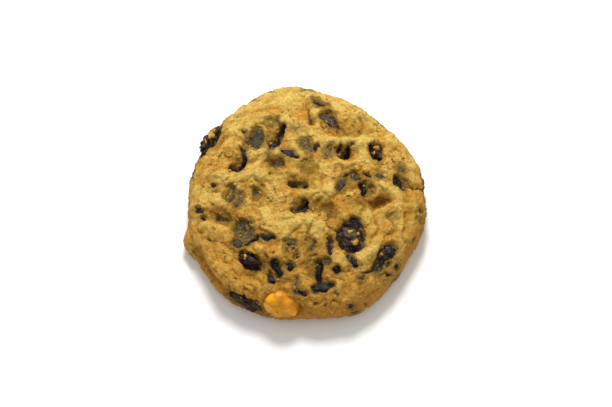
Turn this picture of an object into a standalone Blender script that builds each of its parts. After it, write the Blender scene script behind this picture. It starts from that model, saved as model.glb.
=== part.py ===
"""One oatmeal raisin cookie: a baked dough body with whole raisins seated in its top and rim.

Metres, +Z up. The flat base lies on Z = 0, with the origin at the middle of the base.
+X is the right-hand side and -Y the near side. Bearings are in degrees from +X, counter-clockwise.
"""

import math

import bmesh
import bpy
from mathutils import Euler, Vector, noise

MM = 0.001

# The dough's outline, seen from above: a mean reach and the places where the dough spread more or less.
RIM_REACH = 37.6 * MM
RIM_BULGES = (  # bearing, height, width in degrees
    (48.0, -1.5 * MM, 18.0),
    (103.0, 3.6 * MM, 20.0),
    (135.0, 1.1 * MM, 16.0),
    (210.0, 0.9 * MM, 16.0),
    (240.0, 2.7 * MM, 20.0),
    (265.0, 0.8 * MM, 14.0),
    (292.0, 2.6 * MM, 18.0),
)

# The dough's half section: a broad crown that rolls over into the side, and a tucked-in foot.
CROWN_HEIGHT = 14.4 * MM
WAIST_HEIGHT = 4.8 * MM  # the widest ring
FOOT_SHARE = 0.90        # reach of the flat base, as a share of the rim's
CROWN_FLATNESS = 6.0     # higher is a flatter crown
SHOULDER_ROUNDING = 2.5  # higher is a squarer shoulder
SECTION_STEPS = 240

# How the cube's faces are spread over the section.
CUTS = 20                # rings of faces on each side of the starting cube
UPPER_TURN = 0.72        # share of the half turn given to the crown and the side
GROUND_FADE = 2.5 * MM   # the relief dies away below this height

# Relief of the dough.
QUILT_PITCH = 9.6 * MM   # spacing of the soft hollows pressed in the crown
QUILT_TURN = math.radians(-14.0)
QUILT_JITTER = 0.28      # wander of each hollow to either side, as a share of the pitch
QUILT_RADIUS = 4.0 * MM
QUILT_DEPTH = 1.3 * MM
LUMP_SIZE = 11.0 * MM
LUMP_HEIGHT = 0.7 * MM
SKIRT_BEARING = 212.0    # the ledge round the left foot
SKIRT_WIDTH = 26.0       # degrees to each side
SKIRT_HEIGHT = 3.2 * MM
SKIRT_GROOVE_HEIGHT = 7.4 * MM
SKIRT_RELIEF = 0.9 * MM

# Raisins.
RAISIN_COLUMNS = 14
RAISIN_RINGS = 9
WRINKLE_SIZE = 3.2 * MM
WRINKLE_DEPTH = 0.16     # deepest groove, as a share of the half height
POCKET_GAP = 0.35 * MM   # clearance between a raisin and its pocket

# name: bearing, reach, height, half sizes along, across and up, heading and tilt of the long axis
RAISINS = {
    "raisin_centre_right": (310.0, 20.9, 12.0, (4.7, 4.2, 2.9), 110.0, 0.0),
    "raisin_left_rim": (146.8, 36.9, 9.0, (6.5, 2.4, 3.2), 60.6, 4.0),
    "raisin_right": (33.7, 26.2, 12.2, (2.9, 2.0, 2.4), 115.0, 0.0),
    "raisin_front_left": (232.8, 29.4, 12.2, (3.7, 2.2, 2.3), 148.0, 0.0),
    "raisin_front_right": (320.2, 31.7, 11.5, (3.3, 2.2, 2.4), 38.0, -6.0),
    "raisin_front_rim": (241.5, 38.8, 5.8, (5.6, 2.1, 2.4), 154.0, -4.0),
    "raisin_right_rim": (349.0, 34.4, 7.8, (4.0, 2.6, 2.8), 79.0, -4.0),
    "raisin_back_rim": (71.0, 34.8, 5.4, (5.2, 3.2, 3.4), 161.0, 5.0),
    "golden_raisin": (256.4, 35.8, 7.7, (5.9, 4.7, 4.8), 146.0, 0.0),
}

# Colour, roughness
DOUGH_FINISH = ((0.53, 0.31, 0.09), 0.86)
RAISIN_FINISH = ((0.022, 0.014, 0.016), 0.42)
GOLDEN_FINISH = ((0.66, 0.30, 0.035), 0.45)


def clear_scene():
    for thing in list(bpy.data.objects):
        bpy.data.objects.remove(thing, do_unlink=True)


def make_material(name, finish):
    """A Principled material with a colour and a roughness."""
    colour, roughness = finish
    material = bpy.data.materials.new(name)
    material.use_nodes = True
    shader = material.node_tree.nodes["Principled BSDF"]
    shader.inputs["Base Color"].default_value = (*colour, 1.0)
    shader.inputs["Roughness"].default_value = roughness
    shader.inputs["Metallic"].default_value = 0.0
    return material


def bell(distance, width):
    return math.exp(-((distance / width) ** 2))


def smooth_step(value, start, end):
    share = min(max((value - start) / (end - start), 0.0), 1.0)
    return share * share * (3.0 - 2.0 * share)


def turn_between(bearing, other):
    """Signed degrees from one bearing to the other, the short way round."""
    return (bearing - other + 180.0) % 360.0 - 180.0


def rim_reach(bearing):
    bulges = (height * bell(turn_between(bearing, at), width) for at, height, width in RIM_BULGES)
    return RIM_REACH + sum(bulges)


def half_section():
    """Points down the half section, from the middle of the crown, over the side, to the middle of the base.

    Each is a share of the rim's reach and a height, with the length of outline run so far.
    """
    points = []
    for step in range(SECTION_STEPS + 1):
        turn = 0.5 * math.pi * step / SECTION_STEPS
        share = math.sin(turn) ** (2.0 / CROWN_FLATNESS)
        rise = math.cos(turn) ** (2.0 / SHOULDER_ROUNDING) if step < SECTION_STEPS else 0.0
        points.append((share, WAIST_HEIGHT + (CROWN_HEIGHT - WAIST_HEIGHT) * rise))
    for step in range(1, SECTION_STEPS + 1):
        turn = 0.5 * math.pi * step / SECTION_STEPS
        share = FOOT_SHARE + (1.0 - FOOT_SHARE) * math.cos(turn)
        points.append((share, WAIST_HEIGHT * (1.0 - math.sin(turn))))
    points.append((0.0, 0.0))
    run = [0.0]
    for (share, height), (next_share, next_height) in zip(points, points[1:]):
        run.append(run[-1] + math.hypot((next_share - share) * RIM_REACH, next_height - height))
    return points, run


def section_point(points, run, turn):
    """Reach share and height at a share of the half turn: 0 is the top, 1 the middle of the base."""
    foot_run = run[-2]
    if turn < UPPER_TURN:
        wanted = foot_run * turn / UPPER_TURN
    else:
        wanted = foot_run + (run[-1] - foot_run) * (turn - UPPER_TURN) / (1.0 - UPPER_TURN)
    low, high = 0, len(run) - 1
    while high - low > 1:
        middle = (low + high) // 2
        if run[middle] <= wanted:
            low = middle
        else:
            high = middle
    share = (wanted - run[low]) / (run[high] - run[low])
    start, end = points[low], points[high]
    return start[0] + (end[0] - start[0]) * share, start[1] + (end[1] - start[1]) * share


def quilt(x, y):
    """Depth of the soft hollows pressed in the crown on a wandering square lattice."""
    along = (x * math.cos(QUILT_TURN) + y * math.sin(QUILT_TURN)) / QUILT_PITCH
    across = (y * math.cos(QUILT_TURN) - x * math.sin(QUILT_TURN)) / QUILT_PITCH
    depth = 0.0
    for column in range(math.floor(along) - 1, math.floor(along) + 3):
        for row in range(math.floor(across) - 1, math.floor(across) + 3):
            wander = 2.0 * noise.cell_vector((column, row, 0.0)) - Vector((1.0, 1.0, 1.0))
            offset = Vector((along - column - QUILT_JITTER * wander.x, across - row - QUILT_JITTER * wander.y))
            depth += (0.65 + 0.35 * wander.z) * bell(offset.length * QUILT_PITCH, QUILT_RADIUS)
    return QUILT_DEPTH * depth


def relief(point, normal):
    """How far the baked surface stands out from the plain form."""
    bearing = math.degrees(math.atan2(point.y, point.x))
    facing_up = smooth_step(normal.z, 0.35, 0.95)
    rise = QUILT_DEPTH * 0.5 * facing_up - quilt(point.x, point.y) * facing_up
    rise += LUMP_HEIGHT * noise.noise(point / LUMP_SIZE) + 0.5 * LUMP_HEIGHT * noise.noise(point / LUMP_SIZE * 2.1)
    skirt = bell(turn_between(bearing, SKIRT_BEARING), SKIRT_WIDTH) * (1.0 - facing_up)
    ledge = bell(point.z - SKIRT_HEIGHT, 2.0 * MM) - bell(point.z - SKIRT_GROOVE_HEIGHT, 1.4 * MM)
    rise += SKIRT_RELIEF * skirt * ledge
    return rise * smooth_step(point.z, 0.0, GROUND_FADE)


def make_dough(material):
    """The dough body: a cube divided into a ball of square faces, moved to the section and the outline."""
    points, run = half_section()
    mesh = bmesh.new()
    bmesh.ops.create_cube(mesh, size=2.0)
    bmesh.ops.subdivide_edges(mesh, edges=mesh.edges[:], cuts=CUTS - 1, use_grid_fill=True)
    for vert in mesh.verts:
        ball = Vector([math.tan(0.25 * math.pi * side) for side in vert.co]).normalized()
        turn = math.acos(max(-1.0, min(1.0, ball.z))) / math.pi
        bearing = math.atan2(ball.y, ball.x)
        share, height = section_point(points, run, turn)
        reach = share * rim_reach(math.degrees(bearing))
        vert.co = (reach * math.cos(bearing), reach * math.sin(bearing), height)
    mesh.normal_update()
    moves = [vert.normal * relief(vert.co, vert.normal) for vert in mesh.verts]
    for vert, move in zip(mesh.verts, moves):
        vert.co += move
    return add_object("cookie", mesh, material)


def add_object(name, mesh, material):
    data = bpy.data.meshes.new(name)
    mesh.to_mesh(data)
    mesh.free()
    data.shade_smooth()
    data.materials.append(material)
    thing = bpy.data.objects.new(name, data)
    bpy.context.collection.objects.link(thing)
    return thing


def ball(half_sizes, grow=0.0):
    """A closed ball stretched to three half sizes."""
    mesh = bmesh.new()
    bmesh.ops.create_uvsphere(mesh, u_segments=RAISIN_COLUMNS, v_segments=RAISIN_RINGS, radius=1.0)
    for vert in mesh.verts:
        vert.co = Vector([side * (half + grow) for side, half in zip(vert.co, half_sizes)])
    return mesh


def place(thing, bearing, reach, height, heading, tilt):
    turn = math.radians(bearing)
    thing.location = (reach * math.cos(turn), reach * math.sin(turn), height)
    thing.rotation_euler = Euler((0.0, math.radians(tilt), math.radians(heading)))


def make_raisin(name, seat, material):
    """A raisin: a stretched ball whose skin is drawn in along wandering grooves."""
    bearing, reach, height, half_sizes, heading, tilt = seat
    half_sizes = [half * MM for half in half_sizes]
    mesh = ball(half_sizes)
    own_pattern = Vector((bearing, reach, height))
    for vert in mesh.verts:
        groove = 1.0 - min(1.0, 3.0 * abs(noise.noise(vert.co / WRINKLE_SIZE + own_pattern)))
        vert.co *= 1.0 - WRINKLE_DEPTH * groove
    thing = add_object(name, mesh, material)
    place(thing, bearing, reach * MM, height * MM, heading, tilt)
    return thing


def cut_pocket(dough, name, seat, material):
    """Open the dough for a raisin, with a gap all round it."""
    bearing, reach, height, half_sizes, heading, tilt = seat
    cutter = add_object(name + "_pocket", ball([half * MM for half in half_sizes], POCKET_GAP), material)
    place(cutter, bearing, reach * MM, height * MM, heading, tilt)
    cutter.hide_render = True
    cutter.display_type = "WIRE"
    pocket = dough.modifiers.new(name + "_pocket", "BOOLEAN")
    pocket.operation = "DIFFERENCE"
    pocket.solver = "EXACT"
    pocket.object = cutter


def main():
    clear_scene()
    dough_material = make_material("baked_dough", DOUGH_FINISH)
    raisin_material = make_material("raisin_skin", RAISIN_FINISH)
    golden_material = make_material("golden_raisin_skin", GOLDEN_FINISH)
    dough = make_dough(dough_material)
    for name, seat in RAISINS.items():
        cut_pocket(dough, name, seat, dough_material)
        make_raisin(name, seat, golden_material if name == "golden_raisin" else raisin_material)


main()
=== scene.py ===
"""The looks of one oatmeal raisin cookie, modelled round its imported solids.

Metres, +Z up, with the flat base on Z = 0. +X is the right-hand side and -Y the near side.
Bearings and headings are in degrees from +X, counter-clockwise. Tables of places are in millimetres.
"""

import math

import bmesh
import bpy
import numpy as np
from mathutils import Euler, Matrix, Vector, noise
from mathutils.bvhtree import BVHTree


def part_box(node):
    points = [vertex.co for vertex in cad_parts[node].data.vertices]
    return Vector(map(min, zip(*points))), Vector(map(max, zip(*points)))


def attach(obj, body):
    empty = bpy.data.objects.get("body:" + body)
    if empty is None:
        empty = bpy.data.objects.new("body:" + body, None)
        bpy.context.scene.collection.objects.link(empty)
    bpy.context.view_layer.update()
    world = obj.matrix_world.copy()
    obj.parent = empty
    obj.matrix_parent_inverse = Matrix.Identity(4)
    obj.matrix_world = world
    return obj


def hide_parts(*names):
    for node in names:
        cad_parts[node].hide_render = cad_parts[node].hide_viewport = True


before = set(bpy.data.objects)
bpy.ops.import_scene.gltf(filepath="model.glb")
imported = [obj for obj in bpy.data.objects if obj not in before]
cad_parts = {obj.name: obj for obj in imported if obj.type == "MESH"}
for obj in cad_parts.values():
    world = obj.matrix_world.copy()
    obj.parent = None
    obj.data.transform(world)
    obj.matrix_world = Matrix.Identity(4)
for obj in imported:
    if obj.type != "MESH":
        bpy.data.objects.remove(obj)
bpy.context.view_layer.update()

bl_info = {
    "name": "Oatmeal Raisin Cookie",
    "version": (1, 0, 0),
    "blender": (4, 5, 0),
    "location": "3D View > Sidebar > Cookie",
    "description": "Bakes an oatmeal raisin cookie: dough, raisins, fruit bits, oat flakes and crumbs",
    "category": "Object",
}

MM = 0.001
BODY = "root"
NOISE_SEED = 3           # fixes the shifts that noise vectors give
SIDE_BITS_SEED = 11
CRUMB_SEED = 5
FLAKE_SEED = 17
UP = Vector((0.0, 0.0, 1.0))
ABOVE = 30.0 * MM        # height from which places on the crown are looked for
OUTSIDE = 60.0 * MM      # distance from the middle from which places on the side are looked for

# ---------------------------------------------------------------------------------------------- the form

RIM_BULGES = (  # bearing, height in mm, width in degrees
    (48.0, -1.5, 18.0),
    (103.0, 3.6, 20.0),
    (135.0, 1.1, 16.0),
    (210.0, 0.9, 16.0),
    (240.0, 2.7, 20.0),
    (265.0, 0.8, 14.0),
    (292.0, 2.6, 18.0),
)
FOOT_SHARE = 0.90        # reach of the flat base, as a share of the rim's
CROWN_FLATNESS = 6.0
SHOULDER_ROUNDING = 2.5
SECTION_STEPS = 240
CUTS = 128               # rings of faces on each side of the starting cube
UPPER_TURN = 0.74        # share of the half turn given to the crown and the side
GROUND_FADE = 2.0 * MM   # the relief dies away below this height

QUILT_PITCH = 9.6 * MM
QUILT_TURN = math.radians(-14.0)
QUILT_JITTER = 0.28
QUILT_RADIUS = 4.0 * MM
SWELL_MARGIN = 1.6       # mm that a hollow or ridge reaches past its length and width
RIDGE_GAIN = 1.5
HOLLOW_GAIN = 1.9
BROAD_LUMP_SIZE = 11.0 * MM
BROAD_LUMP_HEIGHT = 0.55 * MM
LUMP_SIZE = 4.6 * MM
SMALL_LUMP_SIZE = 2.4 * MM
GRAIN_SIZE = 0.75 * MM
PORE_SIZE = 1.5 * MM
PORE_DEPTH = 0.45 * MM
SPONGE_DEPTH = 1.0 * MM  # how much deeper the pores are in the cave

LEDGE_BEARING = 214.0    # the ledge round the left foot
LEDGE_WIDTH = 27.0
KNOB_BEARING = 200.0
LIP_BEARING = 226.0
SPONGE_BEARING = 240.0   # the cave with deep pores over the raisin in the near rim
SIDE_FORMS = (  # bearing, width in degrees, height, spread up and down, and how far it stands out, in mm
    (KNOB_BEARING, 6.0, 5.2, 3.0, 2.9),
    (210.0, 3.4, 7.0, 2.6, -1.4),    # the groove beside the knob
    (LIP_BEARING, 9.0, 10.6, 2.0, 1.0),
    (241.0, 9.0, 8.6, 1.5, -1.5),    # the cave
    (266.0, 3.4, 9.0, 2.0, -1.9),    # the hollow beside the golden raisin
)

# Soft hollows (below 0) and ridges (above 0) in the crown: x, y, length, width, heading, height.
SWELLS = (
    (-27, -9, 7, 3, 165, -1.5), (-2, -5, 4, 4, 0, -1.5), (6, -6, 6, 3, 135, -1.5),
    (19, 1, 5, 3, 105, -1.0), (12, 13, 5, 3, 150, -1.5), (-22, 10, 7, 3, 120, -1.0),
    (-17, 19, 7, 4, 105, -1.0), (-9, 19, 7, 4, 120, -1.0), (1, 26, 7, 2, 105, -1.0),
    (15, 22, 11, 4, 0, -1.0), (-20, -14, 7, 4, 135, -1.0), (-17, -24, 8, 4, 150, -1.0),
    (-10, -27, 8, 4, 135, -1.0), (3, -27, 9, 4, 105, -1.0), (30, 3, 6, 3, 120, -1.0),
    (15, -4, 6, 2, 165, -0.5), (-10, 10, 5, 3, 150, -1.0), (23, -24, 7, 3, 45, -1.0),
    (0, 8, 7, 3, 135, -0.5), (7, 27, 8, 4, 120, -1.0), (23, 12, 8, 3, 105, -1.0),
    (23, -4, 5, 2, 30, -2.0), (14, -16, 10, 8, 150, -1.0), (-29, 19, 9, 4, 60, -1.0),
    (-3, 3, 6, 2, 165, -1.0), (-15, -1, 5, 3, 135, -1.0), (31, -5, 6, 3, 90, -0.5),
    (-23, -2, 6, 4, 75, -0.5), (13, 3, 7, 3, 60, -0.5), (1, -19, 7, 3, 135, -0.5),
    (15, 27, 12, 2, 15, 1.0), (15, 17, 13, 2, 0, 1.0), (2, 21, 8, 2, 150, 1.0), (-5, 24, 7, 2, 165, 1.0),
    (-13, 13, 12, 2, 0, 1.0), (-26, 5, 8, 2, 165, 1.0), (-27, 15, 6, 3, 0, 0.5),
    (-28, -13, 8, 3, 150, 1.0), (-11, -11, 8, 4, 135, 1.0), (25, -7, 8, 2, 15, 1.0),
    (26, -13, 9, 3, 150, 0.5), (18, -22, 9, 2, 45, 1.0), (10, -23, 5, 3, 135, 1.0), (5, -1, 6, 3, 0, 1.0),
    (-7, -2, 6, 2, 165, 0.5), (-17, 6, 6, 3, 15, 1.0), (-2, -11, 8, 3, 165, 1.0),
    (-13, -21, 8, 2, 165, 0.5), (13, 9, 6, 2, 0, 1.0), (26, 8, 6, 2, 120, 0.5), (-23, 20, 8, 3, 135, 0.5),
    (24, 1, 5, 2, 135, 1.0), (4, -12, 7, 2, 105, 0.5), (-27, -4, 4, 3, 105, 0.5),
)

# Fruit bits in the crown: kind, x, y, length, width, heading, bend in degrees.
CROWN_BITS = (
    ("pit", -20, 12, 7, 1.5, 90, 15), ("pit", -22, 8, 5, 2.5, 15, 75), ("slate", -16, 19, 9, 4, 75, 15),
    ("bare", -17, 16, 3, 1, 165, 0), ("pit", -8, 21, 5, 2, 75, 15), ("pit", -10, 17, 5, 2, 45, -30),
    ("slate", -11, 15, 3.5, 1.5, 30, 0), ("bare", -5, 13, 6, 1.5, 150, 15),
    ("veiled", 0, 16, 5, 3, 135, 0), ("pit", -3, 2, 6, 1.5, 165, -15), ("mottled", -24, -1, 6, 2, 75, 0),
    ("mottled", -21, -3, 5, 1.5, 75, 0), ("plum", -20, 21, 1.5, 1, 90, 0),
    ("veiled", -11, 25, 4, 1, 0, 15), ("plum", -29, 2, 2, 1.5, 135, 0),
    ("veiled", -16, 0, 2.5, 1.5, 105, 0), ("veiled", -9, 10, 3, 1.5, 30, 0),
    ("slate", 7, 26, 7, 3.5, 120, 0), ("slate", 4, 32, 6, 1, 150, -30), ("bare", 3, 15, 3, 1, 60, -45),
    ("bare", 10, 15, 3, 1, 60, 0), ("pit", 12, 12, 4, 2, 30, 60), ("mottled", 7, 14, 4.5, 1.5, 75, 0),
    ("slate", 11, 3, 7.5, 1.5, 60, -15), ("slate", 15, 5, 3.5, 2, 0, 0), ("pit", 18, 1, 5.5, 2, 105, 15),
    ("bare", 19, 5, 2, 1, 0, 0), ("slate", 23, 5, 2.5, 2, 135, 0), ("veiled", 30, 8, 3, 1.5, 120, 0),
    ("bare", 29, 3, 5, 2.5, 120, 0), ("bare", 15, -11, 4.5, 2.5, 135, 0),
    ("bare", 14, -24, 5.5, 1.5, 120, -15), ("plum", 7, -17, 3, 1.5, 135, 0),
    ("pit", 7, -20, 5, 1.5, 105, 0), ("slate", 2, -19, 3, 1, 75, 0), ("pit", 4, -27, 8, 1.5, 90, 15),
    ("mottled", 6, -24, 3.5, 2, 165, 0), ("bare", 9, -27, 3.5, 2, 0, 0),
    ("bare", 5, -32, 8, 2.5, 15, -15), ("slate", 22, -24, 5, 3, 60, 0), ("veiled", 17, -29, 2, 1, 15, 0),
    ("bare", 28, -24, 1.5, 1.5, 15, 0), ("bare", 25, -27, 1.5, 1, 30, 0),
    ("plum", 25, -24, 1.5, 1, 15, 0), ("mottled", -19, -13, 6.5, 4.5, 120, 0),
    ("slate", -21, -18, 5, 2.5, 165, 0), ("bare", -17, -17, 5.5, 1.5, 30, 15),
    ("bare", -12, -16, 4.5, 1.5, 165, 0), ("bare", -9, -26, 6, 2.5, 120, 0),
    ("bare", -11, -29, 4, 2, 105, 0), ("bare", -5, -26, 3.5, 2, 105, 0),
    ("mottled", -5, -18, 3, 1.5, 0, 0), ("mottled", -5, -20, 3, 1.5, 15, 0),
    ("bare", -3, -22, 2.5, 1, 120, 0), ("slate", -3, -32, 5.5, 1, 90, 0),
    ("bare", -2, -34, 3.5, 1, 165, 45), ("pit", -2, -6, 6.5, 2, 45, 30),
    ("bare", -34, -6, 3.5, 1.5, 150, 0), ("bare", -32, -9, 2.5, 1, 135, 0),
    ("veiled", -26, -9, 3.5, 1, 165, 0),
)

# Fruit bits in the side: kind, bearing, height, length, width, roll from level.
SIDE_BITS = (
    ("slate", 292.0, 4.6, 1.8, 1.4, 20), ("plum", 290.5, 8.4, 1.6, 1.1, 0),
    ("veiled", 316.0, 5.0, 2.4, 1.4, 10),
)
HIDDEN_SIDE_BITS = 34    # more of them, scattered round the side that faces away
HIDDEN_BEARINGS = (-8.0, 186.0)

# How each kind of bit sits: depth of its well, how far it stands up in the well, share of film, redness.
BIT_KINDS = {
    "bare": (0.75, 0.45, 0.05, 0.10),
    "plum": (0.60, 0.40, 0.20, 0.75),
    "pit": (1.25, 0.60, 0.05, 0.10),
    "slate": (0.55, 0.36, 0.56, 0.10),
    "mottled": (0.50, 0.28, 0.72, 0.05),
    "veiled": (0.35, 0.20, 0.80, 0.10),
}

# Cracks: x, y, length, width, heading, bend, depth.
CRACKS = (
    (34, 2, 5, 0.5, 0, 45, 0.9), (1, -6, 3, 0.4, 135, 0, 0.8), (19, -27, 5, 0.5, 30, 15, 0.9),
    (-1, -34, 3, 0.5, 15, 0, 0.7), (1, 26, 7, 0.5, 105, -30, 0.9), (8, -13, 3, 0.4, 150, 0, 0.7),
    (-4, -24, 4, 0.4, 75, 45, 0.6), (10, -30, 4, 0.4, 165, 15, 0.6), (2, -22, 3, 0.4, 15, 0, 0.6),
    (-12, 17, 3, 0.4, 120, 30, 0.7), (16, -13, 3, 0.5, 60, 0, 0.6), (-6, 15, 3, 0.4, 15, 0, 0.6),
)

# Olive stains with no fruit on show: x, y, radius, strength.
STAINS = (
    (-9.5, -28.0, 5.5, 0.75), (2.5, -26.5, 6.5, 0.65), (-22.0, 11.0, 3.2, 0.70), (-12.5, 17.5, 5.5, 0.85),
    (0.5, 9.5, 4.5, 0.75), (-10.5, 6.5, 4.0, 0.45), (-14.5, 0.0, 3.4, 0.50), (-16.5, -12.0, 4.0, 0.60),
    (-25.5, -9.4, 4.6, 0.80), (22.6, 9.8, 3.0, 0.70), (16.5, 3.0, 4.0, 0.50), (6.2, -6.3, 3.2, 0.80),
    (14.0, -5.0, 4.0, 0.45), (14.8, 21.5, 5.0, 0.40), (1.0, 26.3, 2.4, 0.60), (-3.6, -4.0, 2.8, 0.75),
    (-21.0, -19.4, 3.0, 0.45), (-13.4, -22.8, 4.0, 0.45), (0.0, -20.0, 4.5, 0.50),
    (22.0, -23.4, 4.5, 0.50), (9.0, 14.0, 4.5, 0.55), (27.4, -8.6, 3.0, 0.55), (-4.0, 14.6, 4.0, 0.40),
    (-26.4, 22.4, 3.0, 0.20),
)

# Toasted patches: x, y, radius, strength.
TOASTS = (
    (-2.4, 26.6, 3.6, 0.9), (1.4, 22.0, 3.0, 0.8), (-30.6, 10.0, 5.0, 0.8), (-29.0, -13.0, 5.0, 0.6),
    (-20.4, -9.0, 4.0, 0.4), (25.0, -13.6, 5.0, 0.9), (24.0, -6.6, 3.0, 0.6), (12.6, 9.4, 4.0, 0.7),
    (-11.0, -20.6, 4.5, 0.9), (-4.6, -1.0, 4.0, 0.7), (-7.0, -8.0, 3.0, 0.6), (5.0, -9.0, 3.0, 0.6),
    (12.0, -33.0, 6.0, 0.6), (18.0, -30.0, 6.0, 0.7), (-2.0, -36.0, 6.0, 0.5), (8.8, -23.0, 3.0, 0.6),
    (-12.0, 8.4, 3.0, 0.5), (12.8, 24.8, 4.0, 0.6), (17.8, 24.0, 3.0, 0.7), (-24.0, -4.6, 3.0, 0.5),
    (29.0, 13.0, 4.0, 0.5), (-19.0, 3.6, 4.0, 0.3), (4.0, 1.0, 3.0, 0.4), (-16.0, 28.0, 5.0, 0.3),
    (-36.0, -12.0, 4.0, 1.0),
)

# ------------------------------------------------------------------------------------------- the raisins

# name: half sizes along, across and up in mm, heading and tilt of the long axis, dough film, redness
RAISINS = {
    "raisin_centre_right": ((4.7, 4.2, 2.9), 110.0, 0.0, 0.38, 0.55),
    "raisin_left_rim": ((6.5, 2.4, 3.2), 60.6, 4.0, 0.48, 0.35),
    "raisin_right": ((2.9, 2.0, 2.4), 115.0, 0.0, 0.35, 0.20),
    "raisin_front_left": ((3.7, 2.2, 2.3), 148.0, 0.0, 0.20, 0.35),
    "raisin_front_right": ((3.3, 2.2, 2.4), 38.0, -6.0, 0.35, 0.10),
    "raisin_front_rim": ((5.6, 2.1, 2.4), 154.0, -4.0, 0.35, 0.60),
    "raisin_right_rim": ((4.0, 2.6, 2.8), 79.0, -4.0, 0.75, 0.15),
    "raisin_back_rim": ((5.2, 3.2, 3.4), 161.0, 5.0, 0.35, 0.30),
    "golden_raisin": ((5.9, 4.7, 4.8), 146.0, 0.0, 0.30, 0.00),
}
RAISIN_WELL = 0.5        # mm that the dough dips at a raisin's edge
RAISIN_LIP = 0.35        # mm that the dough swells up outside the dip
GOLDEN = "golden_raisin"

# How a raisin's skin is pressed flat, folded and dented.
DARK_SKIN = {"flat": 0.74, "fold_size": 1.7, "sharpness": 3.4, "fold": 0.80, "small_fold": 0.30,
             "dent_size": 3.6, "dent": 1.0}
GOLDEN_SKIN = {"flat": 0.90, "fold_size": 3.4, "sharpness": 3.0, "fold": 0.14, "small_fold": 0.0,
               "dent_size": 6.0, "dent": 0.9}

CRUMBS = 170             # spread over the crown
CRUMB_REACH = 36.0       # mm from the middle
FLAKES = 110
FLAKE_REACH = 35.0       # mm from the middle

# Larger crumbs of dough stuck on the raisins: raisin, x and y from its middle in mm, size.
RAISIN_CRUMBS = (
    ("raisin_centre_right", 1.6, -1.2, 1.15), ("raisin_centre_right", 0.2, 2.2, 0.70),
    ("raisin_centre_right", -2.4, -2.4, 0.80), ("raisin_centre_right", 2.6, 2.2, 0.65),
    ("raisin_left_rim", 0.4, 0.6, 1.10), ("raisin_left_rim", 1.4, 2.6, 0.80),
    ("raisin_left_rim", -0.8, -1.6, 0.75), ("raisin_right", 0.3, 0.4, 0.85),
    ("raisin_right", -0.4, -0.8, 0.55), ("raisin_front_right", -1.2, -1.0, 0.60),
    ("raisin_front_left", -1.0, 0.9, 0.60), ("raisin_front_rim", -1.6, 0.6, 0.60),
    ("raisin_back_rim", 0.8, 0.2, 0.9),
)


class CookieSizes(bpy.types.PropertyGroup):
    """Sizes that a baker might change."""

    rim_reach: bpy.props.FloatProperty(
        name="Rim reach", description="Mean distance from the middle to the rim",
        default=37.6 * MM, min=0.02, max=0.08, unit="LENGTH")
    crown_height: bpy.props.FloatProperty(
        name="Crown height", description="Height of the top above the table",
        default=14.4 * MM, min=0.005, max=0.04, unit="LENGTH")
    waist_height: bpy.props.FloatProperty(
        name="Waist height", description="Height of the widest ring",
        default=4.8 * MM, min=0.001, max=0.02, unit="LENGTH")
    quilt_depth: bpy.props.FloatProperty(
        name="Quilt depth", description="Depth of the evenly spread hollows",
        default=0.60 * MM, min=0.0, max=0.003, unit="LENGTH")
    lump_height: bpy.props.FloatProperty(
        name="Lump height", description="Height of the puffy lumps a few millimetres wide",
        default=0.86 * MM, min=0.0, max=0.003, unit="LENGTH")
    grain_height: bpy.props.FloatProperty(
        name="Grain height", description="Height of the sandy grain",
        default=0.10 * MM, min=0.0, max=0.001, unit="LENGTH")
    wrinkle_depth: bpy.props.FloatProperty(
        name="Wrinkle depth", description="Depth of the folds in a raisin's skin",
        default=0.95 * MM, min=0.0, max=0.003, unit="LENGTH")


class CookieColours(bpy.types.PropertyGroup):
    """Colours of the bake and the fruit."""

    # Pale dough, also painted as highlights on the ridges of the relief.
    pale_tone_and_ridge_light: bpy.props.FloatVectorProperty(
        name="Ridge", description="Dough on the light ridges", subtype="COLOR", size=3,
        default=(0.568, 0.385, 0.090), min=0.0, max=1.0)
    dough: bpy.props.FloatVectorProperty(
        name="Dough", description="Dough between ridges and hollows", subtype="COLOR", size=3,
        default=(0.41, 0.222, 0.030), min=0.0, max=1.0)
    # Toasted patches, and painted shade towards the near side.
    toast_and_near_shade: bpy.props.FloatVectorProperty(
        name="Toast", description="Toasted patches", subtype="COLOR", size=3,
        default=(0.47, 0.190, 0.018), min=0.0, max=1.0)
    olive: bpy.props.FloatVectorProperty(
        name="Olive", description="Dough stained by fruit underneath", subtype="COLOR", size=3,
        default=(0.190, 0.113, 0.021), min=0.0, max=1.0)
    slate: bpy.props.FloatVectorProperty(
        name="Slate", description="Fruit seen through a thin skin of dough", subtype="COLOR", size=3,
        default=(0.098, 0.080, 0.046), min=0.0, max=1.0)
    crust: bpy.props.FloatVectorProperty(
        name="Crust", description="The browner side", subtype="COLOR", size=3,
        default=(0.385, 0.176, 0.025), min=0.0, max=1.0)
    # Painted shade in the hollows of the dough; also the darker dough in the film on the fruit.
    dark_dough_and_hollow_shade: bpy.props.FloatVectorProperty(
        name="Hollow", description="Dough in the hollows", subtype="COLOR", size=3,
        default=(0.21, 0.094, 0.013), min=0.0, max=1.0)
    underside: bpy.props.FloatVectorProperty(
        name="Underside", description="The base, baked on the tray", subtype="COLOR", size=3,
        default=(0.25, 0.105, 0.024), min=0.0, max=1.0)
    raisin: bpy.props.FloatVectorProperty(
        name="Raisin", description="Dark raisin skin", subtype="COLOR", size=3,
        default=(0.007, 0.0055, 0.007), min=0.0, max=1.0)
    # Bloom, also painted as a highlight on the raised backs of the folds.
    bloom_and_fold_highlight: bpy.props.FloatVectorProperty(
        name="Bloom", description="Pale bloom on the folds of the fruit", subtype="COLOR", size=3,
        default=(0.017, 0.016, 0.021), min=0.0, max=1.0)
    golden: bpy.props.FloatVectorProperty(
        name="Golden raisin", description="Golden raisin skin", subtype="COLOR", size=3,
        default=(0.86, 0.400, 0.006), min=0.0, max=1.0)


# --------------------------------------------------------------------------------------- small functions

def bell(distance, width):
    return np.exp(-((distance / width) ** 2))


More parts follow.
